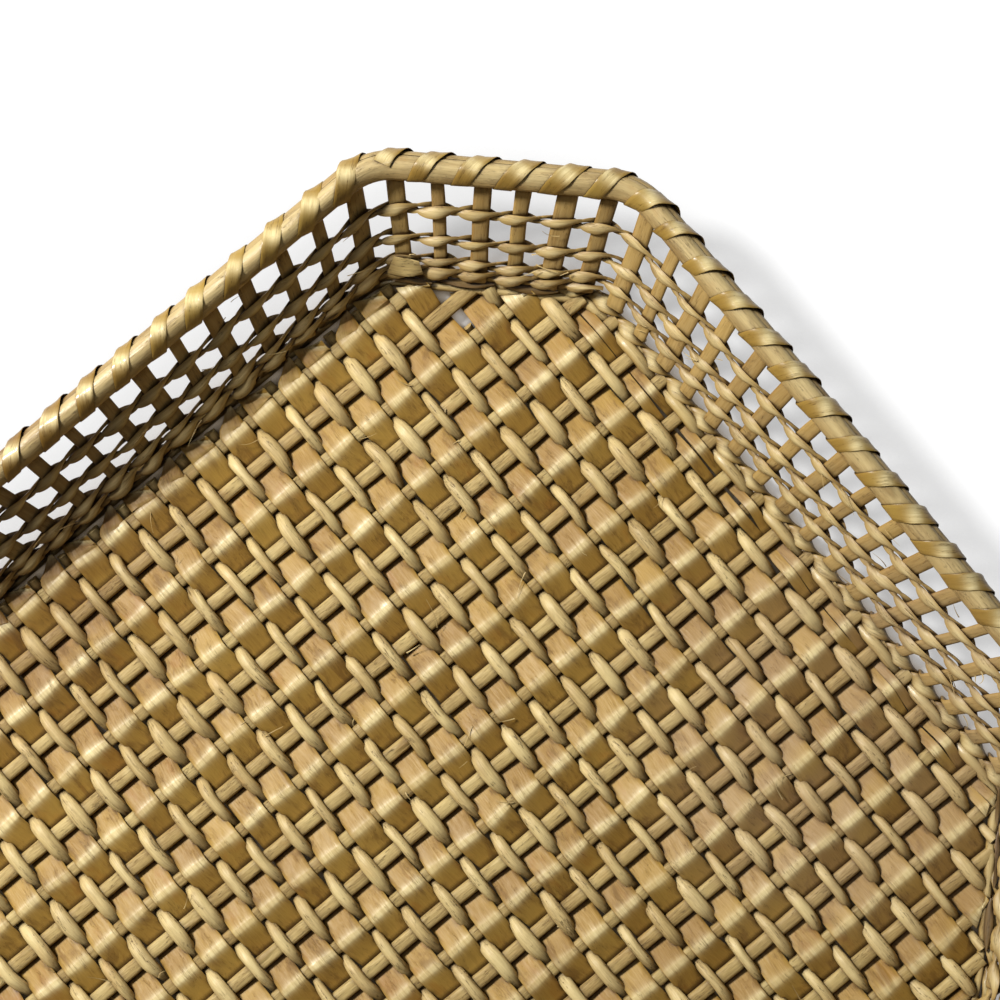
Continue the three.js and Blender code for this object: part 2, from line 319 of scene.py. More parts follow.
def directions(centre, above, closed=False):
    """Directions across and above along a path, square to it."""
    if closed:
        ahead = unit(np.roll(centre, -1, 0) - np.roll(centre, 1, 0))
    else:
        ahead = unit(np.gradient(centre, axis=0))
    above = np.broadcast_to(np.asarray(above, float), centre.shape)
    above = unit(above - ahead * np.sum(above * ahead, 1, keepdims=True))
    return np.cross(ahead, above), above


def show(name, data):
    """An object with this data, linked to the scene."""
    made = bpy.data.objects.new(name, data)
    bpy.context.scene.collection.objects.link(made)
    return made


class Weave:
    """Gathers swept pieces into one mesh, with their grain as attributes."""

    def __init__(self):
        self.points, self.faces = [], []
        self.grain, self.strand, self.worn = [], [], []
        self.total = 0

    def sweep(
        self, centre, above, section, width, thick, rng,
        closed=False, roll=None, yaw=None, wear_and_highlight=0.0,
    ):
        """A section drawn along a path. Width, thickness, and wear with its painted highlight, may
        change along it.
        """
        centre = np.asarray(centre, float)
        n, m = len(centre), len(section)
        across, above = directions(centre, above, closed)
        if roll is not None:
            c, s = np.cos(roll)[:, None], np.sin(roll)[:, None]
            across, above = across * c + above * s, above * c - across * s
        half_width = np.broadcast_to(np.asarray(width, float) / 2, (n,))
        if yaw is not None:
            c, s = np.cos(yaw)[:, None], np.sin(yaw)[:, None]
            forward = np.cross(above, across)
            forward[:, 2] = np.clip(forward[:, 2], -MOST_TIP, MOST_TIP)
            across = across * c + unit(forward) * s
            half_width = half_width / np.cos(yaw)
        half_thick = np.broadcast_to(np.asarray(thick, float) / 2, (n,))
        a, b = half_width[:, None] * section[:, 0], half_thick[:, None] * section[:, 1]
        points = centre[:, None] + across[:, None] * a[..., None]
        points = points + above[:, None] * b[..., None]
        steps = np.linalg.norm(np.diff(centre, axis=0), axis=1)
        along = np.concatenate([[0.0], np.cumsum(steps)])
        grain = np.stack([np.broadcast_to(along[:, None], (n, m)), a, b], -1)
        worn = np.broadcast_to(np.asarray(wear_and_highlight, float), (n,))[:, None]
        # Wear and painted highlight go on the upper half of the section, which makes the top of
        # each piece paler.
        self.add_rings(points, grain, rng.random(), worn * np.clip(section[:, 1], 0, 1), closed)

    def add_rings(self, points, grain, strand, worn, closed):
        n, m = points.shape[:2]
        ring = np.arange(n if closed else n - 1)
        here = ring[:, None] * m + np.arange(m)
        ahead = ((ring + 1) % n)[:, None] * m + np.arange(m)
        quads = np.stack([here, ahead, np.roll(ahead, -1, 1), np.roll(here, -1, 1)], -1)
        self.faces += (quads.reshape(-1, 4) + self.total).tolist()
        if not closed:
            first, last = (list(range(m * i, m * (i + 1))) for i in (0, n - 1))
            ends = np.array([first, last[::-1]]) + self.total
            self.faces += ends.tolist()
        self.points.append(points.reshape(-1, 3))
        self.grain.append(grain.reshape(-1, 3))
        self.strand.append(np.full(n * m, strand))
        self.worn.append(worn.reshape(-1))
        self.total += n * m

    def piece(self, name, finish, slot, nodes=(), sharp=50):
        """Makes the object, lets it ride on the basket and stand for CAD nodes."""
        mesh = bpy.data.meshes.new(name)
        mesh.from_pydata((np.concatenate(self.points) * MM).tolist(), [], self.faces)
        grain = np.concatenate(self.grain) * MM
        for label, kind, key, values in (
            ("grain", "FLOAT_VECTOR", "vector", grain.ravel()),
            ("strand", "FLOAT", "value", np.concatenate(self.strand)),
            # Real wear together with a painted highlight, which the willow finish turns pale.
            ("worn", "FLOAT", "value", np.concatenate(self.worn)),
        ):
            attribute = mesh.attributes.new(label, kind, "POINT")
            attribute.data.foreach_set(key, values.astype(np.float32))
        mesh.shade_smooth()
        mesh.set_sharp_from_angle(angle=radians(sharp))
        mesh.materials.append(finished(finish))
        made = show(name, mesh)
        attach(made, "root")
        if nodes:
            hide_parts(*nodes)


# Willow finishes.


class Graph:
    """Adds and links the nodes of one material or world."""

    def __init__(self, owner):
        owner.use_nodes = True
        self.tree = owner.node_tree
        self.tree.nodes.clear()

    def put(self, socket, value):
        if isinstance(value, bpy.types.NodeSocket):
            self.tree.links.new(value, socket)
        else:
            socket.default_value = value

    def add(self, kind, inputs=None, **settings):
        node = self.tree.nodes.new("ShaderNode" + kind)
        for key, value in settings.items():
            setattr(node, key, value)
        for key, value in (inputs or {}).items():
            self.put(node.inputs[key], value)
        return node

    def math(self, operation, a, b=0.0):
        return self.add("Math", {0: a, 1: b}, operation=operation).outputs[0]

    def times(self, a, b):
        return self.math("MULTIPLY", a, b)

    def plus(self, a, b):
        return self.math("ADD", a, b)

    def minus(self, a, b):
        return self.math("SUBTRACT", a, b)

    def spread(self, value, low, high, to_low=0.0, to_high=1.0):
        """Value mapped smoothly from one range to another and kept inside it."""
        ends = {"From Min": low, "From Max": high, "To Min": to_low, "To Max": to_high}
        node = self.add("MapRange", {"Value": value, **ends}, interpolation_type="SMOOTHSTEP")
        return node.outputs["Result"]

    def mix(self, share, a, b, blend="MIX"):
        node = self.add("Mix", {"Factor": share}, data_type="RGBA", blend_type=blend)
        for socket, value in ((node.inputs[6], a), (node.inputs[7], b)):
            linked = isinstance(value, bpy.types.NodeSocket)
            self.put(socket, value if linked else (*value[:3], 1.0))
        return node.outputs[2]

    def stain(self, body, share, tint):
        """The body multiplied by a tint where the share is high."""
        return self.mix(share, body, self.mix(1.0, body, tint, "MULTIPLY"))

    def noise(self, vector, detail=2.0, roughness=0.5, distortion=0.0, scale=1.0):
        inputs = {"Vector": vector, "Scale": scale, "Detail": detail}
        inputs.update({"Roughness": roughness, "Distortion": distortion})
        return self.add("TexNoise", inputs).outputs["Fac"]


# Middle, inner reach and outer reach of the greyer part of the base and of the painted shade
# over the back of the side, in metres.
WEATHERED_PART = ((0.19, -0.087, 0.006), 0.05, 0.13)
PAINTED_SHADE_PART = ((-0.085, 0.275, 0.05), 0.05, 0.17)
WEATHERED_COLOUR = linear(178, 150, 116)
# Tint and greatest share of the painted shade over the back of the side.
PAINTED_SHADE_TINT = (0.56, 0.46, 0.36)
PAINTED_SHADE_MOST = 0.8
STRAND_TINT = (0.82, 0.77, 0.7)
# Pale colour of real rubbing and of the painted highlight on ridges and tops.
RUB_AND_HIGHLIGHT_COLOUR = linear(250, 231, 174)
# How far the painted shade in crevices reaches, in metres.
CREVICE_SHADE_DEPTH = 0.003
BUMP_DEPTH = 0.0008
WILLOW_IOR = 1.45


def shade(colour, by, warmth=0.0):
    """A colour made darker, and redder with warmth."""
    return min(1.0, colour[0] * by * (1 + warmth)), colour[1] * by, colour[2] * by * (1 - warmth)


def willow(
    name, colour, fibre, stain, streak, speck, knot, roughness, relief, bleach, wear_and_highlight, gloss,
    crack_depth,
):
    """Willow with fibres, stains, specks and knots that follow each piece's own grain, with painted
    highlights and painted shade.
    """
    material = bpy.data.materials.new(name)
    g = Graph(material)
    grain = g.add("Attribute", attribute_name="grain").outputs["Vector"]
    strand = g.add("Attribute", attribute_name="strand").outputs["Fac"]
    worn = g.add("Attribute", attribute_name="worn").outputs["Fac"]
    place = g.add("TexCoord").outputs["Object"]
    offset = g.add("CombineXYZ", {"X": g.times(strand, 7.3), "Y": strand, "Z": strand})
    moved = g.add("VectorMath", {0: grain, 1: offset.outputs[0]}, operation="ADD").outputs[0]

    def stretched(x, y, z):
        node = g.add("VectorMath", {0: moved, 1: (x, y, z)}, operation="MULTIPLY")
        return node.outputs[0]

    def inside(middle, near, far, most=1.0):
        away = g.add("VectorMath", {0: place, 1: middle}, operation="DISTANCE")
        return g.spread(away.outputs["Value"], far, near, 0.0, most)

    fine = g.noise(stretched(130, 1500, 1500), 4.0, 0.65)
    coarse = g.noise(stretched(48, 520, 520), 3.0, 0.6)
    patch = g.noise(stretched(60, 130, 130), 4.0, 0.62, 0.5)
    cloud = g.noise(stretched(9, 9, 9), 1.0)
    rust = g.noise(stretched(34, 60, 60), 3.0, 0.7)
    stretch = g.noise(stretched(42, 16, 16), 1.0)
    dots = g.noise(stretched(520, 900, 900))
    cells = g.add(
        "TexVoronoi", {"Vector": stretched(21, 95, 60), "Scale": 1.0, "Randomness": 1.0},
        feature="F1", distance="EUCLIDEAN",
    )
    near = cells.outputs["Distance"]
    chance = g.add("SeparateColor", {"Color": cells.outputs["Color"]}).outputs[0]
    picked = g.spread(chance, 0.84, 0.86)
    knot_core = g.times(g.spread(near, 0.1, 0.05), picked)
    knot_ring = g.times(g.spread(near, 0.26, 0.13), picked)

    # The body's own colours along the grain.
    deep = shade(colour, 0.56, 0.1)
    brown = shade(colour, 0.4, 0.2)
    body = g.mix(g.spread(fine, 0.35, 0.68, 0.0, fibre), shade(colour, 1.16, -0.04), deep)
    for source, low, high, most, stained in (
        (coarse, 0.52, 0.7, streak, deep),
        (patch, 0.5, 0.68, stain, brown),
        (patch, 0.46, 0.3, bleach, shade(colour, 1.4, -0.1)),
        (rust, 0.56, 0.68, 0.7 * stain, shade(colour, 0.74, 0.3)),
    ):
        body = g.mix(g.spread(source, low, high, 0.0, most), body, stained)
    # A greyer part, painted shade over the back of the side, and strands that differ from each
    # other.
    weathered = g.times(inside(*WEATHERED_PART), g.spread(cloud, 0.35, 0.55, 0.25, 0.8))
    body = g.mix(weathered, body, g.mix(0.5, body, WEATHERED_COLOUR))
    body = g.stain(body, inside(*PAINTED_SHADE_PART, PAINTED_SHADE_MOST), PAINTED_SHADE_TINT)
    tone = g.plus(g.times(strand, 0.4), g.times(stretch, 0.6))
    body = g.stain(body, g.spread(tone, 0.3, 0.7), STRAND_TINT)
    body = g.mix(g.spread(stretch, 0.48, 0.28, 0.0, 0.45), body, shade(colour, 1.35, -0.08))
    # Painted highlights on rubbed ridges and tops, cracks, specks, knots, and painted shade in the
    # crevices.
    streaks = g.plus(g.times(coarse, 0.6), g.times(fine, 0.4))
    rub_and_highlight = g.times(worn, g.spread(streaks, 0.36, 0.64, 1.0, 0.55))
    # Painted highlight, partly real rubbing: the colour turns pale where the attribute is high.
    body = g.mix(g.times(rub_and_highlight, wear_and_highlight), body, RUB_AND_HIGHLIGHT_COLOUR)
    line = g.math("ABSOLUTE", g.minus(coarse, 0.56))
    crack = g.times(g.spread(line, 0.016, 0.004), g.spread(patch, 0.46, 0.56))
    body = g.mix(g.times(crack, crack_depth), body, shade(colour, 0.16, 0.25))
    body = g.mix(g.spread(dots, 0.71, 0.79, 0.0, speck), body, brown)
    body = g.mix(g.times(knot_ring, 0.55 * knot), body, brown)
    body = g.mix(g.times(knot_core, knot), body, shade(colour, 0.12, 0.2))
    # Painted shade: the colour turns deep brown where other pieces crowd close.
    crevice_shade = g.add("AmbientOcclusion", {"Distance": CREVICE_SHADE_DEPTH}, samples=4).outputs["AO"]
    body = g.mix(g.spread(crevice_shade, 0.96, 0.42, 0.0, 0.96), body, shade(colour, 0.1, 0.4))

    bumps = g.plus(g.times(fine, 0.5), g.times(coarse, 0.8))
    bumps = g.plus(bumps, g.times(patch, 1.4))
    bumps = g.minus(bumps, g.times(crack, 0.9 * crack_depth))
    bumps = g.plus(bumps, g.times(knot_ring, 1.3 * knot))
    bumps = g.minus(bumps, g.times(knot_core, 2.2 * knot))
    bump = g.add("Bump", {"Strength": relief, "Distance": BUMP_DEPTH, "Height": bumps})
    rough = g.spread(g.plus(fine, patch), 0.7, 1.35, roughness - 0.08, roughness + 0.12)
    rough = g.minus(rough, g.times(rub_and_highlight, gloss))
    inputs = {"Base Color": body, "Roughness": rough, "Normal": bump.outputs[0]}
    surface = g.add("BsdfPrincipled", {**inputs, "IOR": WILLOW_IOR})
    g.add("OutputMaterial", {"Surface": surface.outputs[0]})
    return material


# By kind of piece: the finish's name, the colour it takes, and fibre, stain, streak, speck,
# knot, roughness, relief, bleach, wear with its painted highlight, gloss and crack_depth.
RECIPES = {
    "lath": ("peeled_lath", "lath", 0.6, 0.3, 0.4, 0.6, 1, 0.62, 0.5, 0.25, 0.5, 0.12, 0.7),
    "strip": ("smooth_strip", "strip", 0.28, 0.58, 0.26, 0.6, 0.8, 0.56, 0.3, 0.3, 0.95, 0.3, 0.45),
    "rod": ("split_rod", "rod", 0.55, 0.3, 0.38, 0.7, 1, 0.55, 0.5, 0.25, 0.35, 0.12, 0.9),
    "stake": ("side_stake", "stake", 0.25, 0.45, 0.3, 0.5, 1, 0.52, 0.25, 0.25, 0.5, 0.12, 0.6),
    "weaver": (
        "twined_strand", "weaver", 0.4, 0.45, 0.45, 0.5, 1, 0.52, 0.35, 0.25, 0.7, 0.12, 0.6,
    ),
    "strand": ("border_strand", "weaver", 0.35, 0.4, 0.35, 0.5, 1, 0.42, 0.3, 0.25, 0.7, 0.2, 0.6),
    "bark": ("brown_strand", "weaver", 0.4, 0.4, 0.5, 0.5, 1, 0.5, 0.3, 0.25, 0.25, 0.12, 0.6),
    "hoop": ("rim_hoop", "hoop", 0.3, 0.5, 0.5, 0.5, 1, 0.46, 0.4, 0.25, 0.45, 0.16, 0.6),
    "lashing": (
        "rim_lashing", "lashing", 0.14, 0.38, 0.22, 0.3, 0.4, 0.36, 0.15, 0.35, 0.95, 0.24, 0.6,
    ),
}
# The brown strands are the twined strands' colour, darker and redder.
BARK_SHADE = (0.3, 0.2)


def finished(kind):
    """The willow of one kind of piece, made once."""
    name, source, *values = RECIPES[kind]
    colour = tuple(getattr(bpy.context.scene.basket_colours, source))
    if kind == "bark":
        colour = shade(colour, *BARK_SHADE)
    return bpy.data.materials.get(name) or willow(name, colour, *values)


def woven(build):
    """Hands a new weave to the function that fills it, and returns the weave."""

    def make(*values):
        weave = Weave()
        build(weave, *values)
        return weave

    return make


# Base.


def sizes():
    return bpy.context.scene.basket_sizes


def reach(place, half_here, half_there, inset):
    """How far the base reaches the other way at a place, inside its cut corners."""
    return half_there - inset - max(0.0, abs(place) - (half_here - inset - inset_cut(inset)))


def reach_y(x, inset):
    return reach(x, BORDER_HALF_X, BORDER_HALF_Y, inset)


def strand_y(places):
    """Where a place counted in laths lies along Y."""
    return (places - LAST_LATH / 2) * LATH_PITCH


@woven
def make_laths(weave):
    width = sizes().lath_width / MM
    uneven = sizes().unevenness
    for index in range(LATH_COUNT):
        rng = default_rng(100 + index)
        y = strand_y(index)
        end = reach(y, BORDER_HALF_Y, BORDER_HALF_X, LATH_INSET)
        x = np.arange(-end, end + 0.1, 2.5)
        x[-1] = end
        place = y + wander(rng, x, 55, 0.6 * uneven)
        height = MAT_HEIGHT + wander(rng, x, 38, 0.15 * uneven)
        wide = width * (1 + wander(rng, x, 26, 0.08 * uneven))
        thick = LATH_THICKNESS * (1 + wander(rng, x, 45, 0.05 * uneven))
        roll = wander(rng, x, 40, 0.1 * uneven)
        centre = np.stack([x, place, height], 1)
        weave.sweep(centre, UP, LATH_SECTION, wide, thick, rng, roll=roll)


# Where a strip has its rings between one lath and the next, and the level part and the
# bend of its fold over a lath, all in pitches.
STRIP_STEPS = np.array(
    [0, 0.025, 0.045, 0.06, 0.075, 0.09, 0.11, 0.14, 0.19, 0.25, 0.36]
    + [0.5, 0.64, 0.75, 0.81, 0.86, 0.89, 0.91, 0.925, 0.94, 0.955, 0.975]
)
STRIP_LEVEL = 0.065
STRIP_BEND = 0.035
ROD_STIFFNESS = 1.4
ROD_STEP = 1 / 12


def strip_height(places):
    """1 over one lath and -1 under the next: level at the laths, straight between them."""
    low = np.floor(places).astype(int)
    part = (places - low - STRIP_LEVEL) / (1 - 2 * STRIP_LEVEL)
    ramp = 0.5 * (np.hypot(part, STRIP_BEND) - np.hypot(part - 1, STRIP_BEND) + 1)
    over = np.where((low + 1) % 2 == 0, 1.0, -1.0)
    return over * (1 - 2 * ramp)


def rod_height(places):
    """1 over one lath and -1 under the next. A stiff rod stays high and dives late."""
    turn = np.abs((places + 1) % 2 - 1)
    return np.cos(np.pi * turn**ROD_STIFFNESS)


# Tails of a strip past its last lath: distance, height, width and share of the turn.
OVER_TAIL = np.array(
    [(3.6, 9.7, 1.0, 0.0), (5.0, 9.2, 1.0, 0.35), (7.0, 8.7, 1.0, 0.8), (9.3, 8.2, 1.0, 1.0)]
    + [(10.0, 7.9, 0.98, 1.0), (10.4, 6.9, 0.97, 1.0), (10.4, 4.0, 0.95, 1.0)]
)
UNDER_TAIL = np.array(
    [(4.4, 4.3, 0.9, 0.0), (5.6, 6.2, 0.92, 0.0), (6.9, 7.9, 0.95, 0.2), (8.4, 8.4, 0.97, 0.5)]
    + [(9.8, 7.8, 0.96, 0.8), (10.6, 6.2, 0.94, 1.0), (10.8, 4.4, 0.9, 1.0)]
)
# A strip that ends at a cut corner: here the second value is how far it sinks.
CUT_TAIL = np.array([(1.3, -0.1, 0.98, 0.6), (2.6, -0.4, 0.95, 1.0), (2.9, -1.7, 0.92, 1.0)])
CUT_TURN = 0.7
CUT_LOWEST = 3.0
# Wear and painted highlight along a tail, strongest at its fold.
TAIL_WEAR_AND_HIGHLIGHT = np.array([0.1, 0.0, 0.0, 0.3, 0.9, 0.7, 0.2])
# Every other strip narrows to a point at its back end, drawn to one side and a little longer.
POINT = np.array([0.92, 0.78, 0.56, 0.34, 0.2, 0.14, 0.1])
POINT_SHIFT = 0.46
POINT_LENGTH = 3.6
POINTED_TURN = (0.25, 0.4)
FOLDED_TURN = (-0.74, -0.58)
FRONT_TURN = (-0.2, 0.2)


def flat_strip(weave, x, width, shift, seed, pointed):
    """One flat strip with its folded ends at the border."""
    rng = default_rng(seed)
    uneven = sizes().unevenness
    places = np.array([i + step for i in range(-1, LATH_COUNT) for step in STRIP_STEPS])
    varied = variation(rng, places + 1, LATH_COUNT + 2)
    y = strand_y(places)
    rise = strip_height(places)
    over = (rise + 1) / 2
    z = MAT_HEIGHT + STRIP_REACH * rise * varied(0.94, 1.05)
    drift = varied(-1.1, 1.1) * uneven
    wide = width * (0.97 + 0.03 * over) * (1 + varied(-0.07, 0.05) * uneven)
    roll = varied(-0.08, 0.08) * uneven
    yaw = varied(-0.14, 0.14) * uneven
    # Paler on the ridge over each lath: real rubbing at the fold and a painted highlight.
    wear_and_highlight = over**13 * varied(0.55, 1.05)
    rings = np.stack([x + shift + drift, y, z, wide, roll, yaw, wear_and_highlight], 1)
    limit = reach_y(x, STRIP_INSET)
    cut = limit < BORDER_HALF_Y - STRIP_INSET - 0.5
    keep = (places > -3 / LATH_PITCH) & (places < LAST_LATH + 2.9 / LATH_PITCH)
    if cut:
        ends = -limit + rng.uniform(0, 3.5), limit - rng.uniform(0, 3.5)
        keep = (y > ends[0]) & (y < ends[1])
    rings = rings[keep]
    for sign in (-1, 1):
        end = rings[-1] if sign > 0 else rings[0]
        shape = CUT_TAIL if cut else OVER_TAIL if sign > 0 else UNDER_TAIL
        tail = np.repeat(end[None], len(shape), 0)
        if cut:
            turn = -sign * copysign(CUT_TURN, x)
            tail[:, 1] += sign * shape[:, 0]
            tail[:, 2] = np.maximum(tail[:, 2] + shape[:, 1], CUT_LOWEST)
        else:
            turn = rng.uniform(*(POINTED_TURN if pointed else FOLDED_TURN))
            turn = turn if sign > 0 else rng.uniform(*FRONT_TURN)
            tail[:, 1] = sign * (LAST_LATH / 2 * LATH_PITCH + shape[:, 0])
            tail[:, 2] = shape[:, 1]
        tail[:, 3] = width * shape[:, 2]
        if pointed and sign > 0 and not cut:
            tail[:, 0] += POINT_SHIFT * width * (1 - POINT)
            tail[:, 1] += np.linspace(0, POINT_LENGTH, len(shape))
            tail[:, 3] = width * POINT
        tail[:, 4] = 0
        tail[:, 5] = turn * shape[:, 3]
        tail[:, 6] = TAIL_WEAR_AND_HIGHLIGHT[-len(shape) :]
        rings = np.concatenate([rings, tail] if sign > 0 else [tail[::-1], rings])
    centre, (wide, roll, yaw, wear_and_highlight) = rings[:, :3], rings[:, 3:].T
    turned = dict(roll=roll, yaw=yaw, wear_and_highlight=wear_and_highlight)
    weave.sweep(centre, UP, STRIP_SECTION, wide, STRIP_THICKNESS, rng, **turned)


# The last strip on the right is two narrower ones: share of the width, shift and seed.
NARROW_STRIPS = ((0.4, -3.2, 300), (0.37, 2.3, 340))


@woven
def make_strip(weave, index):
    x = (index - (STRIP_COUNT - 1) / 2) * STRIP_PITCH
    width = sizes().strip_width / MM
    parts = NARROW_STRIPS if index == STRIP_COUNT - 1 else ((1.0, 0.0, 300),)
    for share, shift, seed in parts:
        flat_strip(weave, x, width * share, shift, seed + index, pointed=index % 2 == 1)


# One rod stops short of the border and leaves two openings behind it.
SHORT_ROD = 21
SHORT_ROD_END = 187.0


@woven
def make_rods(weave):
    width = sizes().rod_width / MM
    uneven = sizes().unevenness
    places = np.arange(-1, LATH_COUNT + 0.01, ROD_STEP)
    y = strand_y(places)
    rise = rod_height(places)
    over = (rise + 1) / 2
    thick = ROD_THICKNESS * (0.84 + 0.22 * over)
    for index in range(STRIP_COUNT - 1):
        rng = default_rng(400 + index)
        varied = variation(rng, places + 1, LATH_COUNT + 3)
        x = (index + 1 - STRIP_COUNT / 2) * STRIP_PITCH
        z = MAT_HEIGHT + ROD_REACH * rise * varied(0.95, 1.04)
        drift = varied(-1.1, 1.1) * uneven
        wide = width * (0.66 + 0.36 * over**0.6) * (1 + varied(-0.34, 0.1) * uneven)
        roll = varied(-0.2, 0.2) * uneven
        # Paler along the top where the rod lies over a lath: painted highlight, with some real
        # wear.
        wear_and_highlight = over**2 * varied(0.2, 1.0)
        limit = reach_y(x, ROD_INSET)
        keep = (y > -limit) & (y < (SHORT_ROD_END if index == SHORT_ROD else limit))
        centre = np.stack([x + drift, y, z], 1)[keep]
        turned = dict(roll=roll[keep], wear_and_highlight=wear_and_highlight[keep])
        weave.sweep(centre, UP, ROD_SECTION, wide[keep], thick[keep], rng, **turned)


# Border.


def ring_places(line, step):
    """Places all the way round an outline, as side and fraction."""
    places = []
    for side in range(8):
        count = max(2, round(line.side_length(side) / step))
        places += [(side, i / count) for i in range(count)]
    return places


def side_fullness(side, fraction):
    """1 along the walls at the ends of the laths, where the border is thick, and 0 along Y's."""
    if side % 2 == 0:
        return 1.0 if side % 4 == 0 else 0.0
    return 1 - fraction if side % 4 == 1 else fraction


# The rod inside the border: its height on the Y walls, its rise on the corners, and its
# reach over and under the laths.
BORDER_ROD_HEIGHT = 5.3
BORDER_ROD_RISE = 2.0
BORDER_ROD_REACH = 3.4
# Half of how far apart the two strands lie, across and up, and their thickness.
STRAND_OUT = 1.3
STRAND_UP = 3.7
STRAND_THICKNESS = 2.9


def border_rod(weave, rng):
    """The rod round the base. Along the ends of the laths it weaves over and under them."""
    line = BORDER_ROD_LINE
    places = ring_places(line, 2.0)
    centre = []
    for side, fraction in places:
        point, _ = line.at(side, fraction)
        share = sin(pi * fraction) if side % 2 == 1 else 0.0
        height = BORDER_ROD_HEIGHT + BORDER_ROD_RISE * share**0.5
        if side in (0, 4):
            place = point[1] / LATH_PITCH + LAST_LATH / 2
            ease = min(1.0, 12 * min(fraction, 1 - fraction))
            over = MAT_HEIGHT + BORDER_ROD_REACH * float(rod_height(np.array(place)))
            height += ease * (over - height)
        centre.append((point[0], point[1], height))
    drift = rng.uniform(-0.1, 0.15, len(centre))
    drift = np.convolve(np.pad(drift, 4, mode="wrap"), np.ones(9) / 9, "valid")
    fullness = np.array([side_fullness(side, fraction) for side, fraction in places])
    wide = (4.0 + 2.0 * fullness) * (1 + drift)
    # Wear and painted highlight on the top of the border rod.
    weave.sweep(centre, UP, ROD_SECTION, wide, ROD_THICKNESS, rng, closed=True, wear_and_highlight=0.6)


@woven
def make_border(weave):
    """The rod round the base, and the two twisted strands outside it that it stands on."""
    rng = default_rng(500)
    border_rod(weave, rng)
    line = BORDER_STRAND_LINE
    starts, rates = border_turns(line)
    for start in (0, pi):
        centre, above, wide, worn = [], [], [], []
        for side, fraction in ring_places(line, 1.6):
            point, out = line.at(side, fraction)
            angle = starts[side] + rates[side] * fraction + start
            c, s = cos(angle), sin(angle)
            place = point + out * (STRAND_OUT * c)
            centre.append((*place, BORDER_STRAND_HEIGHT + STRAND_UP * s))
            above.append((*(out * (0.6 * c)), s))
            swell = 1.6 + 3.8 * side_fullness(side, fraction)
            wide.append(3.6 + swell * abs(s) ** 0.8)
            # Paler where a strand comes up on top: painted highlight, with some real wear.
            worn.append(max(0.0, s) ** 3)
        ends = dict(closed=True, wear_and_highlight=worn)
        weave.sweep(centre, above, KNUCKLE_SECTION, wide, STRAND_THICKNESS, rng, **ends)


def border_turns(line):
    """How far the strands have turned at the start of each side, and how far they turn on it.

    On the walls a strand lies on top at every lath end or strip.
    """
    middles = [pi / 2]
    for wall in (0, 2, 4, 6):
        here, corner, ahead = (line.side_length((wall + step) % 8) for step in range(3))
        free = pi * (here / 2 + corner + ahead / 2) / LATH_PITCH
        step = 2 * pi if wall == 6 else pi
        gone = middles[-1] - middles[0]
        middles.append(middles[0] + round((gone + free) / step) * step)
    starts, rates = [0.0] * 8, [0.0] * 8
    for number, wall in enumerate((0, 2, 4, 6)):
        half = pi * line.side_length(wall) / 2 / LATH_PITCH
        ahead = pi * line.side_length((wall + 2) % 8) / 2 / LATH_PITCH
        starts[wall], rates[wall] = middles[number] - half, 2 * half
        starts[wall + 1] = middles[number] + half
        rates[wall + 1] = middles[number + 1] - ahead - starts[wall + 1]
    return starts, rates


# Side.

STAKE_RINGS = 26
STEPS_PER_STAKE = 16


@woven
def make_stakes(weave, side):
    width = sizes().stake_width / MM
    uneven = sizes().unevenness
    count = stake_count(side)
    for number in range(count):
        rng = default_rng(600 + 40 * side + number)
        here = Slope(side, (number + 0.5) / count)
        tip = here.length - 1.9
        heights = [[-FOOT_DEPTH, -6.0, -3.0, -1.0], np.linspace(1, tip, STAKE_RINGS)]
        heights = np.concatenate(heights)
        lean = rng.uniform(-0.9, 0.9) * uneven
        shift = rng.uniform(-0.5, 0.5) * uneven + lean * (heights / here.length)
        shift = shift + wander(rng, heights, 24, 0.35 * uneven)
        outward = np.interp(heights, [-FOOT_DEPTH, -1, 3], [2.6, 1.0, 0.0])
        bow = wander(rng, heights, 20, 0.25 * uneven)
        centre = []
        for height, move, near, out in zip(heights, shift, outward, bow):
            if height < 0:
                drop = here.low + np.array((0, 0, height))
                centre.append(drop + here.way * near + here.along * move)
            else:
                centre.append(here.at(height, out, move))
        wide = width * rng.uniform(0.8, 1.22) * (1 + wander(rng, heights, 18, 0.06))
        thick = STAKE_THICKNESS * rng.uniform(0.9, 1.08)
        roll = np.full(len(heights), rng.uniform(-0.1, 0.1) * uneven)
        # The inner face of each stake is paler: painted highlight, with some real wear.
        weave.sweep(centre, -here.out, STAKE_SECTION, wide, thick, rng, roll=roll, wear_and_highlight=0.4)


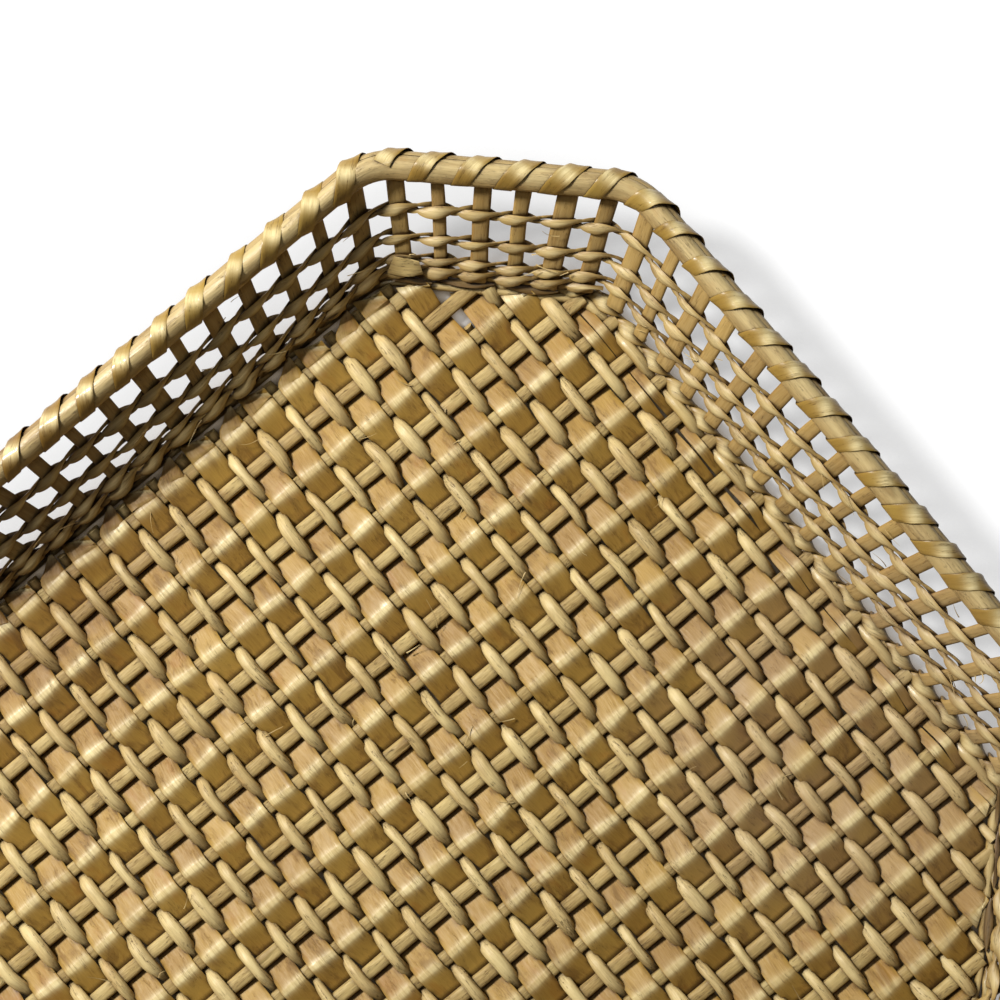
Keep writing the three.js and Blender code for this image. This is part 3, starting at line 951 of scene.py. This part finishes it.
def twined(weave, start, middle, reach_out, reach_up, width, thick, seed, pinch, span=None):
    """One strand of a twined pair. It passes inside one stake and outside the next."""
    rng = default_rng(seed)
    uneven = sizes().unevenness
    first, last = span or (0, STAKE_TOTAL)
    counts = first + np.arange((last - first) * STEPS_PER_STAKE) / STEPS_PER_STAKE
    fade = np.clip(np.minimum(counts - first, last - counts), 0, 1)
    varied = variation(rng, counts, STAKE_TOTAL + 2)
    sway = varied(-0.9, 0.9) * uneven * fade
    swell = 1 + varied(-0.2, 0.14) * fade
    tilt = varied(-0.3, 0.3) * uneven * fade
    centre, above, wide, worn = [], [], [], []
    for count, side_step, size, lean in zip(counts, sway, swell, tilt):
        here = slope_at_stake(count)
        angle = pi * (count - 0.5) + start
        c, s = cos(angle), sin(angle)
        centre.append(here.at(middle(here) - reach_up * s + side_step, -reach_out * c))
        # The strand keeps its face to the inside, and leans a little where it passes through.
        turn = 0.5 * s + lean
        above.append(-here.out * cos(turn) + here.up * sin(turn))
        inside = abs(c)
        wide.append(width * size * (pinch + (1 - pinch) * inside**0.7))
        # Paler where the strand bulges inward at a stake: painted highlight, with some real wear.
        worn.append(0.3 + 0.6 * inside**3 if c > 0 else 0.2)
    if span:
        wide = wide * (0.15 + 0.85 * fade)
    ends = dict(closed=span is None, wear_and_highlight=worn)
    weave.sweep(centre, above, WEAVER_SECTION, wide, thick, rng, **ends)


@woven
def make_weaver(weave, row, strand):
    start = 0.0 if strand == "inner" else pi
    seed = 700 + 10 * row + (strand == "outer")
    reach_out = STAKE_THICKNESS / 2 + 0.1 + WEAVER_THICKNESS / 2
    width = sizes().weaver_width / MM
    middle = lambda here: row_height(here, row)
    twined(weave, start, middle, reach_out, 1.3, width, WEAVER_THICKNESS, seed, pinch=0.4)


@woven
def make_foot_row(weave):
    """The foot row runs along the two Y walls and all four corners, and thins out at its ends."""
    wall, corner = STAKES_PER_WALL, STAKES_PER_CORNER
    seed = 760
    middle = lambda here: FOOT_BAND_HEIGHT / 2 + 2.2
    for span in ((wall, 2 * wall + 2 * corner), (3 * wall + 2 * corner, STAKE_TOTAL)):
        for start in (0.0, pi):
            twined(weave, start, middle, 2.3, 1.5, 7.4, 2.4, seed, pinch=0.35, span=span)
            seed += 1


# Rim.

HOOP_INSIDE = 1.35
# What stays put when a hoop swells, and how far each hoop lies under its place.
HOOP_ROOT = 1.3
HOOP_SINK = {-1: 0.1, 1: 0.5}
HOOP_STEP = 3.0
LASHING_STEPS = 28
# Where on a turn the lashing gets its painted highlight, as a share of the pitch, and how widely:
# on the part of the turn that faces the light.
HIGHLIGHT_MIDDLE = 0.62
HIGHLIGHT_WIDTH = 0.1


def rim_oval(angles, grow):
    """Points of the rim's rounded outline, and the way out at each."""
    half = HOOP_OUTER_FACE + grow, HOOP_HEIGHT / 2 + grow
    x, y = squared(angles, RIM_SQUARENESS)
    steep = RIM_SQUARENESS - 2
    way = np.stack([x * np.abs(x) ** steep / half[0], y * np.abs(y) ** steep / half[1]], 1)
    return np.stack([x * half[0], RIM_MIDDLE + y * half[1]], 1), unit(way)


def hoop_section():
    """One hoop of the rim: round outside, flat against the stakes, with a lip over their tips."""
    outside, _ = rim_oval(np.radians(np.arange(-76, 77, 12.67)), 0.0)
    lip = [(1.3, -0.1), (0.2, -0.3), (0.2, -1.7), (HOOP_INSIDE, -1.8)]
    return np.concatenate([[(HOOP_INSIDE, -12.85)], outside, lip])


@woven
def make_hoop(weave, face):
    rng = default_rng(800 + (face > 0))
    section = hoop_section() if face > 0 else hoop_section()[::-1]
    places = ring_places(RIM_LINE, HOOP_STEP)
    n, m = len(places), len(section)
    distance = np.arange(n) * HOOP_STEP
    swell = wander(rng, distance, 60, 0.05)
    sink = wander(rng, distance, 80, 0.35)
    fade = np.clip(np.minimum(np.arange(n), n - 1 - np.arange(n)) / 10, 0, 1)
    points, grain, worn = np.zeros((n, m, 3)), np.zeros((n, m, 3)), np.zeros((n, m))
    highlight_strength = 0.75 + wander(rng, distance, 30, 0.25)
    for i, (side, fraction) in enumerate(places):
        here = Slope(side, fraction)
        grow = 1 + swell[i] * fade[i]
        low = sink[i] * fade[i] - HOOP_SINK[face]
        for j, (offset, height) in enumerate(section):
            out = HOOP_ROOT + (offset - HOOP_ROOT) * grow if offset > HOOP_ROOT else offset
            points[i, j] = here.at(here.length + height + low, face * out)
            grain[i, j] = (distance[i], height, face * out)
            # Painted highlight: the hoop turns paler on the faces that look upwards, more so at
            # some places along the rim.
            rise = height - RIM_MIDDLE
            facing_up = face * out * here.out[2] + rise * here.up[2]
            facing_up = facing_up / hypot(out, rise)
            worn[i, j] = highlight_strength[i] * min(1.0, max(0.0, (facing_up - 0.5) / 0.4))
    weave.add_rings(points, grain, rng.random(), worn, closed=True)


def slope_along_rim(distance):
    """The slope at a distance along the rim from the start of side 0."""
    lengths = [RIM_LINE.side_length(side) for side in range(8)]
    distance = distance % sum(lengths)
    side = 0
    while distance > lengths[side]:
        distance -= lengths[side]
        side = (side + 1) % 8
    return Slope(side, distance / lengths[side])


def lashing_turn():
    """One turn round the hoops, from under their middle: places, ways out, pitch shares."""
    angles = np.radians(np.arange(LASHING_STEPS) * 360 / LASHING_STEPS - 90)
    line, way = rim_oval(angles, LASHING_GAP + LASHING_THICKNESS / 2)
    steps = np.hypot(*(np.roll(line, -1, 0) - line).T)
    share = np.concatenate([[0.0], np.cumsum(steps)[:-1]]) / steps.sum()
    share = share - 0.62 * np.sin(2 * pi * share) / (2 * pi)
    return line, way, share


@woven
def make_lashing(weave, first_side):
    rng = default_rng(900 + first_side)
    width = sizes().lashing_width / MM
    line, way, share = lashing_turn()
    start = sum(RIM_LINE.side_length(side) for side in range(first_side))
    centre, above, wide, worn = [], [], [], []
    for side in (first_side, first_side + 1):
        pitch = RIM_LINE.side_length(side) / stake_count(side)
        for number in range(stake_count(side)):
            gap = start + number * pitch + rng.uniform(-1.0, 1.0)
            size = width * rng.uniform(0.86, 1.12)
            loose = rng.uniform(-0.05, 0.08)
            slack = rng.uniform(-1.6, 1.6)
            for (offset, height), (outward, upward), part in zip(line, way, share):
                bow = slack * sin(pi * part) ** 2
                here = slope_along_rim(gap + part * pitch + bow)
                normal = here.out * outward + here.up * upward
                centre.append(here.at(here.length + height, offset) + normal * loose)
                above.append(normal)
                wide.append(size)
                # Painted highlight on the part of each turn that faces the light.
                worn.append(exp(-(((part - HIGHLIGHT_MIDDLE) / HIGHLIGHT_WIDTH) ** 2)))
        start += RIM_LINE.side_length(side)
    wide = np.convolve(np.pad(wide, 6, mode="edge"), np.ones(13) / 13, "valid")
    smooth = np.array(centre)
    smooth[1:-1] = (smooth[:-2] + 2 * smooth[1:-1] + smooth[2:]) / 4
    # The length stops short of the next one.
    n = len(smooth) - 9
    path = smooth[:n], np.array(above)[:n]
    weave.sweep(*path, LASHING_SECTION, wide[:n], LASHING_THICKNESS, rng, wear_and_highlight=worn[:n])


# Loose pieces.

# Begin and end along the corner, height and width.
CORNER_STRANDS = ((0.5, 0.77, 12.0, 4.6), (0.2, 0.45, 11.6, 4.4), (0.79, 0.98, 11.6, 3.4))


@woven
def make_corner_strands(weave):
    """Brown strands along the foot of the cut corners."""
    for side in (1, 3, 5, 7):
        for number, (begin, end, height, width) in enumerate(CORNER_STRANDS):
            rng = default_rng(980 + 10 * side + number)
            fractions = np.linspace(begin, end, 30)
            sway = wander(rng, fractions * 100, 12, 1.6)
            twist = wander(rng, fractions * 100, 14, 0.6)
            centre = []
            for fraction, move in zip(fractions, sway):
                here = Slope(side, fraction)
                inward = here.way * (0.4 + 0.9 * number - 0.4 * move)
                centre.append(here.low - inward + (0, 0, height - FOOT_HEIGHT + 0.5 * move))
            wide = width * np.sin(np.linspace(0.12, pi - 0.12, 30)) ** 0.7
            # Slight wear and painted highlight on the top of each strand.
            weave.sweep(centre, UP, WEAVER_SECTION, wide, 1.3, rng, roll=twist, wear_and_highlight=0.3)


@woven
def make_folded_end(weave):
    """One flat end folded against the side in a cut corner."""
    rng = default_rng(990)
    here = Slope(1, 0.9)
    t = np.linspace(0, 1, 14)
    inward = [-3.6 - 1.0 * sin(pi * u) for u in t]
    centre = [here.at(8.0 + 2.0 * u, depth, 15 * u - 7) for u, depth in zip(t, inward)]
    wide = np.interp(t, [0, 0.3, 0.7, 1], [8.5, 9.5, 11.5, 11.0])
    twist = wander(rng, t * 15, 5, 0.22)
    lean = np.interp(t, [0, 0.5, 1], [0.3, 0.0, -0.25])
    # Slight wear and painted highlight on the top of the folded end.
    turned = dict(roll=twist, yaw=lean, wear_and_highlight=0.1)
    weave.sweep(centre, -here.out, STRIP_SECTION, wide, 0.5, rng, **turned)


FIBRE_COUNT = 150
BASE_FIBRES = 60


@woven
def make_splinters(weave):
    """Fibres that stand off the base, and then off the side."""
    rng = default_rng(950)
    for number in range(FIBRE_COUNT):
        if number < BASE_FIBRES:
            x = rng.uniform(-215, 215)
            limit = reach_y(x, 16)
            start = np.array((x, rng.uniform(-limit, limit), MAT_HEIGHT + 3.2))
            heading = rng.uniform(0, 2 * pi)
            way = np.array((cos(heading), sin(heading), rng.uniform(0.1, 0.5)))
        else:
            here = slope_at_stake(rng.uniform(0, STAKE_TOTAL))
            start = here.at(rng.uniform(5, here.length - 14), -3.2)
            way = here.along * rng.choice([-1, 1]) + here.up * rng.uniform(-0.6, 0.6)
            way = way - here.out * 0.25
        length = rng.uniform(4, 13)
        curl = rng.normal(0, 0.35, 3)
        t = np.linspace(0, 1, 9)[:, None]
        centre = start + unit(way) * t * length + curl * t * t * length * 0.7
        centre[:, 2] = np.maximum(centre[:, 2], MAT_HEIGHT + 2.4)
        taper = np.linspace(1, 0.25, 9)
        wide = rng.uniform(0.35, 0.8) * taper
        weave.sweep(centre, (0.1, 0.2, 1), FIBRE_SECTION, wide, 0.3 * taper, rng)


# Stage.

# In metres and degrees.
SHOT_CENTRE = (0.1376, 0.1102)
SHOT_HEIGHT = 1.1
SHOT_ACROSS = 0.5
SHOT_TURN = -39.7
SENSOR_WIDTH = 36
SKY_STRENGTH = 0.02
FLOOR_HALF = 6.0
FLOOR_SHADOW = 0.36
FLOOR_GLOW = 1.05
FLOOR_DIM = 0.5
# The near black painted shade of the shut-in floor, and the warm tint of its glow there.
FLOOR_PAINTED_SHADE = (0.02, 0.015, 0.008)
FLOOR_SHADE_TINT = (0.42, 0.3, 0.17)

# Name, bearing, rise, distance, size and power of each lamp.
LAMPS = (
    ("window_light", (-0.36, 0.93), 46.0, 1.8, 0.32, 45.0),
    ("ceiling_light", (-0.2, 0.6), 76.0, 1.7, 0.25, 2.4),
)


def make_camera():
    data = bpy.data.cameras.new("camera")
    data.sensor_width = SENSOR_WIDTH
    data.lens = SENSOR_WIDTH * SHOT_HEIGHT / SHOT_ACROSS
    data.clip_start = 0.01
    camera = show("camera", data)
    camera.location = (*SHOT_CENTRE, SHOT_HEIGHT)
    camera.rotation_euler = (0, 0, radians(SHOT_TURN))
    bpy.context.scene.camera = camera


def make_lamps():
    target = Vector((*SHOT_CENTRE, 0.02))
    for name, bearing, rise, distance, size, power in LAMPS:
        data = bpy.data.lights.new(name, "AREA")
        data.shape = "DISK"
        data.size = size
        data.energy = power
        lamp = show(name, data)
        level = Vector((*bearing, 0)).normalized() * cos(radians(rise))
        way = level + Vector((0, 0, sin(radians(rise))))
        lamp.location = target + way * distance
        lamp.rotation_mode = "QUATERNION"
        lamp.rotation_quaternion = (-way).to_track_quat("-Z", "Y")


def make_floor():
    """A plain pale floor that keeps the basket's shadow and shows nearly white, with painted shade
    where the basket shuts it in.
    """
    material = bpy.data.materials.new("plain_floor")
    g = Graph(material)
    colour = (*bpy.context.scene.basket_colours.floor, 1.0)
    speckle = g.noise(g.add("TexCoord").outputs["Object"], scale=90.0)
    body = g.mix(g.spread(speckle, 0.3, 0.7, 0.0, 0.03), colour, shade(colour, 0.9))
    open_air = g.add("AmbientOcclusion", {"Distance": 0.07}, samples=24).outputs["AO"]
    body = g.mix(1.0, body, (FLOOR_SHADOW,) * 3, "MULTIPLY")
    # Painted shade: the floor turns near black where the basket closes over it.
    body = g.mix(g.spread(open_air, 0.3, 0.0), body, FLOOR_PAINTED_SHADE)
    diffuse = g.add("BsdfDiffuse", {"Color": body, "Roughness": 0.6}).outputs[0]
    # The glow fades where the basket shuts the floor in, which paints a shadow under and round the
    # basket, and turns warm brown in the narrow slits.
    dim = g.spread(open_air, 0.1, 0.26, 0.04, FLOOR_DIM)
    open_glow = g.times(g.math("POWER", open_air, 3.0), FLOOR_GLOW - FLOOR_DIM)
    tint = g.mix(g.spread(open_air, 0.12, 0.5), FLOOR_SHADE_TINT, colour)
    glow = g.add("Emission", {"Color": tint, "Strength": g.plus(dim, open_glow)})
    added = g.add("AddShader", {0: diffuse, 1: glow.outputs[0]})
    rays = g.add("LightPath").outputs
    seen = g.math("MAXIMUM", rays["Is Camera Ray"], rays["Is Glossy Ray"])
    shown = g.add("MixShader", {0: seen, 1: diffuse, 2: added.outputs[0]})
    g.add("OutputMaterial", {"Surface": shown.outputs[0]})
    mesh = bpy.data.meshes.new("floor")
    corners = [(FLOOR_HALF * x, FLOOR_HALF * y, 0) for x, y in ((-1, -1), (1, -1), (1, 1), (-1, 1))]
    mesh.from_pydata(corners, [], [(0, 1, 2, 3)])
    mesh.materials.append(material)
    show("floor", mesh)


def make_sky():
    """White where the camera looks past the floor, and a faint light elsewhere."""
    world = bpy.data.worlds.new("plain_light")
    g = Graph(world)
    faint = g.add("Background", {"Color": (1, 1, 1, 1), "Strength": SKY_STRENGTH})
    bright = g.add("Background", {"Strength": 1.0})
    seen = g.add("LightPath").outputs["Is Camera Ray"]
    mixed = g.add("MixShader", {0: seen, 1: faint.outputs[0], 2: bright.outputs[0]})
    g.add("OutputWorld", {"Surface": mixed.outputs[0]})
    bpy.context.scene.world = world


# Operators.

MAT_NODE = "base_border_laths_and_rods"
# The angle in degrees from which the edges of a twined strand show as sharp.
LEAF_EDGE = 27


class BASKET_OT_laths(bpy.types.Operator):
    """Lay the laths of the base"""

    bl_idname = "basket.laths"
    bl_label = "Laths"

    def execute(self, context):
        make_laths().piece("base_laths", "lath", "lath", [MAT_NODE])
        return {"FINISHED"}


class BASKET_OT_strips(bpy.types.Operator):
    """Weave the flat strips of the base"""

    bl_idname = "basket.strips"
    bl_label = "Flat strips"

    def execute(self, context):
        for index in range(STRIP_COUNT):
            number = str(index + 1).zfill(2)
            nodes = ["base_strip_" + number]
            make_strip(index).piece("flat_strip_" + number, "strip", "strip", nodes)
        return {"FINISHED"}


class BASKET_OT_rods(bpy.types.Operator):
    """Weave the half-round rods of the base"""

    bl_idname = "basket.rods"
    bl_label = "Rods"

    def execute(self, context):
        make_rods().piece("base_rods", "rod", "lath", [MAT_NODE])
        return {"FINISHED"}


class BASKET_OT_border(bpy.types.Operator):
    """Lay the border that the basket stands on"""

    bl_idname = "basket.border"
    bl_label = "Border"

    def execute(self, context):
        make_border().piece("base_border", "strand", "weaver", [MAT_NODE])
        return {"FINISHED"}


class BASKET_OT_stakes(bpy.types.Operator):
    """Stand the stakes of the side"""

    bl_idname = "basket.stakes"
    bl_label = "Stakes"

    def execute(self, context):
        for side, name in enumerate(SIDE_NAMES):
            make_stakes(side).piece("side_stakes_" + name, "stake", "stake", ["stakes_" + name])
        return {"FINISHED"}


class BASKET_OT_rows(bpy.types.Operator):
    """Twine the foot row and the rows of the side"""

    bl_idname = "basket.rows"
    bl_label = "Twined rows"

    def execute(self, context):
        make_foot_row().piece("foot_row", "weaver", "weaver", sharp=LEAF_EDGE)
        for row in range(ROW_COUNT):
            for strand in ("inner", "outer"):
                name = f"{row + 1}_{strand}"
                made = make_weaver(row, strand)
                nodes = ["weaver_" + name]
                made.piece("twined_row_" + name, "weaver", "weaver", nodes, LEAF_EDGE)
        return {"FINISHED"}


class BASKET_OT_hoops(bpy.types.Operator):
    """Bend the two hoops of the rim"""

    bl_idname = "basket.hoops"
    bl_label = "Hoops"

    def execute(self, context):
        for face, name in ((-1, "inner"), (1, "outer")):
            make_hoop(face).piece(f"rim_{name}_band", "hoop", "hoop", [f"rim_{name}_hoop"])
        return {"FINISHED"}


class BASKET_OT_lashing(bpy.types.Operator):
    """Wind the lashing round the rim"""

    bl_idname = "basket.lashing"
    bl_label = "Lashing"

    def execute(self, context):
        for first_side in (0, 2, 4, 6):
            name = "lashing_" + SIDE_NAMES[first_side]
            make_lashing(first_side).piece(name, "lashing", "lashing", ["rim_" + name])
        return {"FINISHED"}


class BASKET_OT_loose(bpy.types.Operator):
    """Add the loose strands at the corners and the fibres that stand off the weave"""

    bl_idname = "basket.loose"
    bl_label = "Loose pieces"

    def execute(self, context):
        make_corner_strands().piece("corner_strands", "bark", "weaver")
        make_folded_end().piece("folded_end", "lath", "lath")
        make_splinters().piece("loose_fibres", "rod", "lath")
        return {"FINISHED"}


class BASKET_OT_stage(bpy.types.Operator):
    """Set the floor, the light and the camera"""

    bl_idname = "basket.stage"
    bl_label = "Stage"

    def execute(self, context):
        make_floor()
        make_sky()
        make_lamps()
        make_camera()
        context.scene.view_settings.view_transform = "Standard"
        return {"FINISHED"}


OPERATORS = (BASKET_OT_laths, BASKET_OT_strips, BASKET_OT_rods, BASKET_OT_border)
OPERATORS += (BASKET_OT_stakes, BASKET_OT_rows, BASKET_OT_hoops, BASKET_OT_lashing)
OPERATORS += (BASKET_OT_loose, BASKET_OT_stage)


class BASKET_PT_panel(bpy.types.Panel):
    """Lists the basket's sizes, colours and pieces"""

    bl_idname = "BASKET_PT_panel"
    bl_label = "Drying basket"
    bl_space_type = "VIEW_3D"
    bl_region_type = "UI"
    bl_category = "Basket"

    def draw(self, context):
        layout = self.layout
        for group in (context.scene.basket_sizes, context.scene.basket_colours):
            column = layout.column(align=True)
            for name in group.__annotations__:
                column.prop(group, name)
        column = layout.column(align=True)
        for operator in OPERATORS:
            column.operator(operator.bl_idname)


CLASSES = (BasketSizes, BasketColours, *OPERATORS, BASKET_PT_panel)


def register():
    for cls in CLASSES:
        bpy.utils.register_class(cls)
    bpy.types.Scene.basket_sizes = PointerProperty(type=BasketSizes)
    bpy.types.Scene.basket_colours = PointerProperty(type=BasketColours)


def unregister():
    del bpy.types.Scene.basket_colours
    del bpy.types.Scene.basket_sizes
    for cls in reversed(CLASSES):
        bpy.utils.unregister_class(cls)


def main():
    register()
    for operator in OPERATORS:
        group, name = operator.bl_idname.split(".")
        getattr(getattr(bpy.ops, group), name)()


if __name__ == "__main__":
    main()
